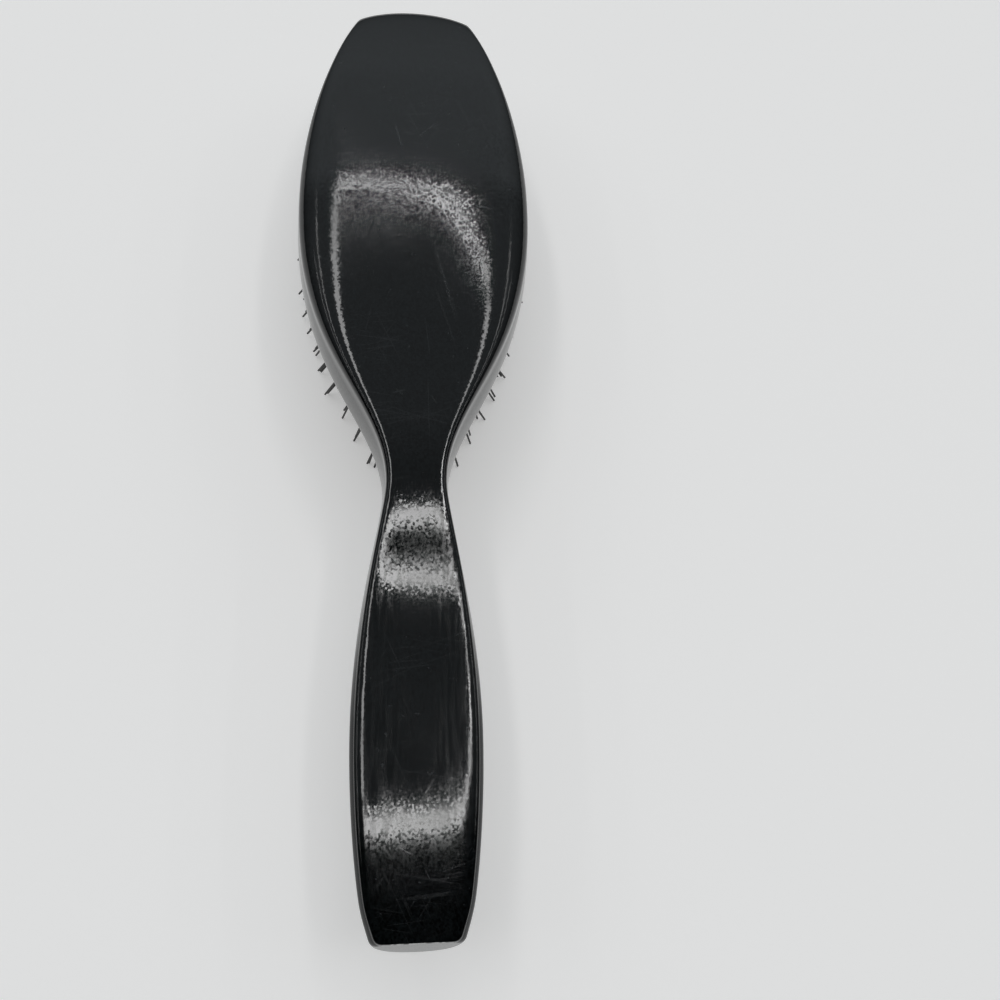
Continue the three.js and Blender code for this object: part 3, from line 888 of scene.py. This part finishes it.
class BRUSH_OT_body(bpy.types.Operator):
    """Models the one-piece gloss body: back, walls, handle and the tray in the head"""

    bl_idname = "brush.body"
    bl_label = "Brush Body"

    def execute(self, context):
        form = BrushForm(context.scene.brush_sizes)
        places = stations(form)
        bm = bmesh.new()
        where = bm.verts.layers.float_vector.new("where")
        bm.verts.layers.int.new("place")
        bmesh.ops.create_grid(bm, x_segments=ACROSS, y_segments=len(places) - 1, size=1)
        power = 2 / HEAD_SQUARENESS
        for vert in bm.verts:
            angle = vert.co.x * QUARTER
            u = math.copysign(abs(math.sin(angle)) ** power, angle)
            row = round((vert.co.y + 1) / 2 * (len(places) - 1))
            vert[where] = (u, places[row], 0)
            vert.co = form.back_point(u, places[row])
        back = bm.faces[:]
        copied = bmesh.ops.duplicate(bm, geom=back)["geom"]
        under = [g for g in copied if isinstance(g, bmesh.types.BMFace)]
        for vert in (g for g in copied if isinstance(g, bmesh.types.BMVert)):
            vert.co = form.belly_point(*vert[where][:2])
        rim = {e for f in back for e in f.edges if e.is_boundary}
        self.wall(bm, form, where, list(rim))
        tray_start = next(y for y in places if y > form.tray_y - RIM_WIDTH - RIM_LEAD)
        inside = [f for f in under if min(v[where].y for v in f.verts) >= tray_start - EDGE_TRACE]
        bmesh.ops.delete(bm, geom=inside, context="FACES")
        bmesh.ops.remove_doubles(bm, verts=bm.verts, dist=BODY_MERGE)
        self.tray(bm, form)
        bmesh.ops.remove_doubles(bm, verts=bm.verts, dist=BODY_MERGE)
        self.round_end(bm, form)
        plastic = gloss_plastic(context.scene.brush_looks)
        piece = finish_mesh("gloss_body", bm, plastic, "brush_body")
        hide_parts("body")
        return {"FINISHED"}

    @staticmethod
    def wall(bm, form, where, edges):
        """Draws the back's edge down the walls and round the rim's outer edge."""
        steps = [(k / WALL_STEPS, 0) for k in range(1, WALL_STEPS)]
        steps += [(1, QUARTER * k / EDGE_STEPS) for k in range(EDGE_STEPS + 1)]
        for drop, turn in steps:
            made = bmesh.ops.extrude_edge_only(bm, edges=edges)["geom"]
            edges = [g for g in made if isinstance(g, bmesh.types.BMEdge)]
            for vert in (g for g in made if isinstance(g, bmesh.types.BMVert)):
                vert.co = form.wall_point(*vert[where][:2], drop, turn)

    @staticmethod
    def tray(bm, form):
        """Draws the opening under the head into the flat rim, the tray's wall and its groove."""
        edges = [e for e in bm.edges if e.is_boundary]
        if not edges:
            raise RuntimeError("the underside has no opening for the tray")
        mouth = form.tray_loop(RIM_WIDTH - EDGE_ROUND, DENSE)
        tree = KDTree(DENSE)
        for i, (x, y) in enumerate(mouth):
            tree.insert((x, y, 0), i)
        tree.balance()
        index = bm.verts.layers.int["place"]
        foot = form.rim_z + GROOVE_FOOT
        start = RIM_WIDTH - EDGE_ROUND
        rings = [
            (start + EDGE_ROUND * math.sin(turn), form.rim_z + EDGE_ROUND * (1 - math.cos(turn)))
            for turn in (QUARTER * k / EDGE_STEPS for k in range(EDGE_STEPS + 1))
        ]
        rings += [
            (RIM_WIDTH, foot),
            (RIM_WIDTH - GROOVE_DEPTH, foot),
            (RIM_WIDTH - GROOVE_DEPTH, foot + GROOVE_HEIGHT),
            (RIM_WIDTH, foot + GROOVE_HEIGHT),
            (RIM_WIDTH, form.rim_z + TRAY_DEPTH),
        ]
        for number, (inset, z) in enumerate(rings):
            loop = form.tray_loop(inset, DENSE)
            made = bmesh.ops.extrude_edge_only(bm, edges=edges)["geom"]
            edges = [g for g in made if isinstance(g, bmesh.types.BMEdge)]
            for vert in (g for g in made if isinstance(g, bmesh.types.BMVert)):
                if number == 0:
                    vert[index] = tree.find((vert.co.x, vert.co.y, 0))[1]
                x, y = loop[vert[index]]
                vert.co = (x, y, z)
        bmesh.ops.contextual_create(bm, geom=edges)

    @staticmethod
    def round_end(bm, form):
        """Rounds the edges of the handle's end face."""
        bm.normal_update()
        lean = Vector((0, -math.cos(END_RAKE), math.sin(END_RAKE)))
        near = form.end_y + END_FACE_REACH
        flat = [
            face
            for face in bm.faces
            if face.normal.dot(lean) > END_FACE_FLAT and face.calc_center_median().y < near
        ]
        edges = [e for e in {e for f in flat for e in f.edges} if e.calc_face_angle(0) > SHARP_ANGLE]
        bmesh.ops.bevel(
            bm,
            geom=edges,
            offset=END_BEVEL,
            offset_type="OFFSET",
            segments=BEVEL_STEPS,
            profile=0.5,
            affect="EDGES",
            clamp_overlap=True,
            material=-1,
        )


class BRUSH_OT_cushion(bpy.types.Operator):
    """Models the domed rubber cushion with its bead and a puckered hole for each tuft"""

    bl_idname = "brush.cushion"
    bl_label = "Brush Cushion"

    def execute(self, context):
        sizes = context.scene.brush_sizes
        form = BrushForm(sizes)
        inner = form.half_line(form.inner_inset)
        rows = tuft_rows(form)
        exits = [tuft_line(form, inner, y, lean, x)[0] for _, y, lean, across in rows for x in across]
        tree = KDTree(len(exits))
        for i, point in enumerate(exits):
            tree.insert((point.x, point.y, 0), i)
        tree.balance()
        vent = Vector((0, (rows[0][1] + rows[-1][1]) / 2 + ROW_PITCH / 2, 0))

        def outer_z(x, y, share):
            away = tree.find((x, y, 0))[2]
            pucker = PUCKER_DEPTH * math.exp(-((away / PUCKER_WIDTH) ** 2))
            collar = COLLAR_RISE * math.exp(-(((away - COLLAR_RADIUS) / COLLAR_WIDTH) ** 2))
            off_vent = math.hypot(x - vent.x, y - vent.y)
            hole = VENT_DEPTH * (1 - smoothstep(off_vent, VENT_RADIUS * VENT_FLOOR, VENT_RADIUS))
            dome = form.pad_foot - form.pad_depth * bulge(share, PAD_SQUARENESS)
            return dome + pucker - collar + hole

        bm = bmesh.new()
        place = bm.verts.layers.int.new("place")
        start = bmesh.ops.create_circle(bm, cap_ends=False, radius=1, segments=PAD_ROUND)["verts"]
        edge_loop = form.tray_loop(form.outer_inset, PAD_ROUND)
        for i, vert in enumerate(start):
            vert[place] = i
            vert.co = (*edge_loop[i], form.pad_foot)
        first = bm.edges[:]

        def draw(edges, loop, height):
            made = bmesh.ops.extrude_edge_only(bm, edges=edges)["geom"]
            for vert in (g for g in made if isinstance(g, bmesh.types.BMVert)):
                x, y = loop[vert[place]]
                vert.co = (x, y, height(x, y))
            return [g for g in made if isinstance(g, bmesh.types.BMEdge)]

        edges = first
        power = 2 / PAD_SQUARENESS
        for i in range(1, PAD_RINGS + 1):
            share = math.cos(i / PAD_RINGS * QUARTER) ** power if i < PAD_RINGS else 0
            edges = draw(edges, form.drawn_in(edge_loop, share), lambda x, y: outer_z(x, y, share))
        bead = form.tray_loop(form.bead_inset, PAD_ROUND)
        lining = form.tray_loop(form.inner_inset, PAD_ROUND)
        edges = draw(first, bead, lambda x, y: form.pad_foot)
        edges = draw(edges, bead, lambda x, y: form.pad_top)
        edges = draw(edges, lining, lambda x, y: form.pad_top)
        depth = form.pad_depth - sizes.pad_skin
        for i in range(INNER_RINGS + 1):
            share = math.cos(i / INNER_RINGS * QUARTER) ** power if i < INNER_RINGS else 0
            level = form.pad_foot - depth * bulge(share, PAD_SQUARENESS)
            edges = draw(edges, form.drawn_in(lining, share), lambda x, y: level)
        bmesh.ops.remove_doubles(bm, verts=bm.verts, dist=PAD_MERGE)
        rubber = matt_rubber(context.scene.brush_looks)
        piece = finish_mesh("rubber_cushion", bm, rubber, "brush_body")
        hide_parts("cushion_pad")
        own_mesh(piece)
        return {"FINISHED"}


def draw_filament(bm, points, radius):
    """A filament through points, drawn from a circle by extruding its end face."""
    axis = (points[1] - points[0]).normalized()
    turn = axis.to_track_quat("Z", "Y").to_matrix().to_4x4()
    place = Matrix.Translation(points[0]) @ turn
    verts = bmesh.ops.create_circle(
        bm, cap_ends=True, radius=radius, segments=FILAMENT_SIDES, matrix=place
    )["verts"]
    face = verts[0].link_faces[0]
    for before, after in zip(points, points[1:]):
        made = bmesh.ops.extrude_face_region(bm, geom=[face])["geom"]
        face = next(g for g in made if isinstance(g, bmesh.types.BMFace))
        bmesh.ops.translate(bm, verts=face.verts, vec=after - before)


class BRUSH_OT_tufts(bpy.types.Operator):
    """Models the rows of nylon tufts, each of two or three slightly uneven filaments"""

    bl_idname = "brush.tufts"
    bl_label = "Brush Tufts"

    def execute(self, context):
        sizes = context.scene.brush_sizes
        form = BrushForm(sizes)
        inner = form.half_line(form.inner_inset)
        nylon = satin_nylon(context.scene.brush_looks)
        draws = random.Random(sizes.seed)
        for name, y, lean, across in tuft_rows(form):
            bm = bmesh.new()
            for x in across:
                bend = OUTER_BEND * (1 - abs(x) / (sizes.head_half - TUFT_EDGE))
                outward = math.copysign(bend, x) if x in (across[0], across[-1]) else 0
                self.tuft(bm, form, tuft_line(form, inner, y, lean, x), draws, outward)
            piece = finish_mesh(name.replace("row", "filaments"), bm, nylon, "tuft_bed")
            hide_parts(name)
        return {"FINISHED"}

    @staticmethod
    def tuft(bm, form, line, draws, outward):
        """One tuft of filaments side by side, uneven and a little bent, the outer ones outward."""
        sizes = form.sizes
        base, slope, tip = line
        radius = sizes.filament_radius
        start = base - slope.normalized() * (sizes.pad_skin + BEHIND_PAD)
        count = draws.choice((2, 3, 3))
        around = draws.uniform(0, 2 * math.pi)
        gap = TRIPLE_GAP if count > 2 else PAIR_GAP
        for k in range(count):
            angle = around + 2 * math.pi * k / count
            offset = Vector((math.cos(angle), math.sin(angle), 0)) * radius * gap
            spread = Vector((draws.gauss(0, STRAY), draws.gauss(STRAY_BACK, STRAY), 0)) * MM
            spread += Vector((outward, 0, 0)) + slope * draws.uniform(0, REACH_DOWN) * tip.z
            short = draws.choice((0, 0, draws.uniform(0, SHORTEST))) * MM
            end = tip + offset * TIP_FAN + spread
            length = (end - start).length
            end = start + offset + (end - start - offset) * (1 - short / length)
            end.z = max(end.z, radius + TABLE_GAP)
            bow = Vector((draws.gauss(0, BOW), draws.gauss(0, BOW), 0)) * MM
            shares = [i / FILAMENT_STEPS for i in range(FILAMENT_STEPS + 1)]
            points = [(start + offset).lerp(end, t) + bow * math.sin(math.pi * t) for t in shares]
            draw_filament(bm, points, radius)


CAMERA_LENS = 36.1
CAMERA_PLACE = (-0.0066, -0.0835, 0.2445)
CAMERA_TURN = (16.65, -6.27, -1.64)
TABLE_HALF = 6
LAMP_HEIGHT = 20
LAMPS = (
    # name, degrees from straight up to the side and to the tip, width across and along, turn, strength
    ("far_strip", 0.0, 34.1, 17.3, 0.22, -8, 36.0),
    ("near_strip", -4.3, -3.3, 11.6, 0.66, 3, 12.0),
    ("near_corner", 18.0, 0.8, 5.2, 0.5, 26, 18.0),
    ("left_strip", -22.4, 19.3, 2.0, 15.0, 7.7, 5.5),
    ("right_strip", 23, 16.7, 1.7, 11.0, 0, 5.5),
    ("left_window", -44, 19.3, 0.7, 22.0, 4, 5.0),
    ("left_frame", -53, 19.3, 0.7, 22.0, 4, 5.0),
    ("right_window", 46, 19.3, 0.7, 20.0, 0, 5.0),
    ("right_frame", 55, 19.3, 0.7, 20.0, 0, 5.0),
)


# The room's light from behind the camera (0) to beyond the tip (1), its tint, and how much of it is
# left at the horizon and from what height it is whole
ROOM_LEVELS = (
    (0.0, 0.01),
    (0.445, 0.01),
    (0.49, 0.16),
    (0.62, 0.3),
    (0.77, 0.32),
    (0.80, 0.62),
    (1.0, 0.62),
)
ROOM_TINT = (0.92, 1, 1.05)
HORIZON_LEVEL = 0.15
WHOLE_FROM = 0.6


class BRUSH_OT_stage(bpy.types.Operator):
    """Lays the pale table, hangs a frame of soft strip lamps and places the camera"""

    bl_idname = "brush.stage"
    bl_label = "Brush Stage"

    def execute(self, context):
        scene = context.scene
        looks = scene.brush_looks
        bm = bmesh.new()
        bmesh.ops.create_grid(bm, x_segments=1, y_segments=1, size=TABLE_HALF)
        mesh = bpy.data.meshes.new("table")
        bm.to_mesh(mesh)
        bm.free()
        mesh.materials.append(table_top(looks))
        table = bpy.data.objects.new("table", mesh)
        scene.collection.objects.link(table)
        for name, side, rise, width, depth, turn, strength in LAMPS:
            lamp = bpy.data.lights.new(name, "AREA")
            lamp.shape = "RECTANGLE"
            lamp.size, lamp.size_y = width, depth
            lamp.energy = strength * math.pi * width * depth
            holder = bpy.data.objects.new(name, lamp)
            x, y = (LAMP_HEIGHT * math.tan(math.radians(angle)) for angle in (side, rise))
            holder.location = (x, y, LAMP_HEIGHT)
            holder.rotation_euler.z = math.radians(turn)
            scene.collection.objects.link(holder)
        self.room(scene)
        camera = bpy.data.cameras.new("camera")
        camera.lens = CAMERA_LENS
        camera.sensor_width = 36
        camera.clip_start = 0.01
        holder = bpy.data.objects.new("camera", camera)
        holder.location = CAMERA_PLACE
        holder.rotation_euler = Euler([math.radians(angle) for angle in CAMERA_TURN])
        scene.collection.objects.link(holder)
        scene.camera = holder
        scene.view_settings.view_transform = "Standard"
        return {"FINISHED"}

    @staticmethod
    def room(scene):
        """The room's own light: dark behind the camera, grey overhead and paler beyond the tip."""
        world = bpy.data.worlds.new("room")
        scene.world = world
        world.use_nodes = True
        tree = world.node_tree
        place = tree.nodes.new("ShaderNodeTexCoord").outputs["Generated"]
        split = tree.nodes.new("ShaderNodeSeparateXYZ")
        tree.links.new(place, split.inputs[0])
        ramp = tree.nodes.new("ShaderNodeValToRGB")
        reach = tree.nodes.new("ShaderNodeMapRange")
        reach.inputs["From Min"].default_value = -1
        reach.inputs["From Max"].default_value = 1
        tree.links.new(split.outputs["Y"], reach.inputs["Value"])
        tree.links.new(reach.outputs["Result"], ramp.inputs["Fac"])
        elements = ramp.color_ramp.elements
        while len(elements) < len(ROOM_LEVELS):
            elements.new(0.5)
        for element, (position, level) in zip(elements, ROOM_LEVELS):
            element.position = position
            element.color = (*[level * tint for tint in ROOM_TINT], 1)
        background = tree.nodes["Background"]
        tree.links.new(ramp.outputs["Color"], background.inputs["Color"])
        low = tree.nodes.new("ShaderNodeMapRange")
        low.inputs["From Max"].default_value = WHOLE_FROM
        low.inputs["To Min"].default_value = HORIZON_LEVEL
        tree.links.new(split.outputs["Z"], low.inputs["Value"])
        tree.links.new(low.outputs["Result"], background.inputs["Strength"])


class BRUSH_PT_panel(bpy.types.Panel):
    """Lists the brush's sizes, looks and pieces"""

    bl_idname = "BRUSH_PT_panel"
    bl_label = "Styling Brush"
    bl_space_type = "VIEW_3D"
    bl_region_type = "UI"
    bl_category = "Styling Brush"

    def draw(self, context):
        for group in (context.scene.brush_sizes, context.scene.brush_looks):
            box = self.layout.box()
            for name in group.__annotations__:
                box.prop(group, name)
        for operator in OPERATORS:
            self.layout.operator(operator.bl_idname)


OPERATORS = (BRUSH_OT_body, BRUSH_OT_cushion, BRUSH_OT_tufts, BRUSH_OT_stage)
CLASSES = (BrushSizes, BrushLooks, *OPERATORS, BRUSH_PT_panel)


def register():
    for cls in CLASSES:
        bpy.utils.register_class(cls)
    bpy.types.Scene.brush_sizes = PointerProperty(type=BrushSizes)
    bpy.types.Scene.brush_looks = PointerProperty(type=BrushLooks)


def unregister():
    del bpy.types.Scene.brush_looks
    del bpy.types.Scene.brush_sizes
    for cls in reversed(CLASSES):
        bpy.utils.unregister_class(cls)


def main():
    register()
    bpy.ops.brush.body()
    bpy.ops.brush.cushion()
    bpy.ops.brush.tufts()
    bpy.ops.brush.stage()


if __name__ == "__main__":
    main()
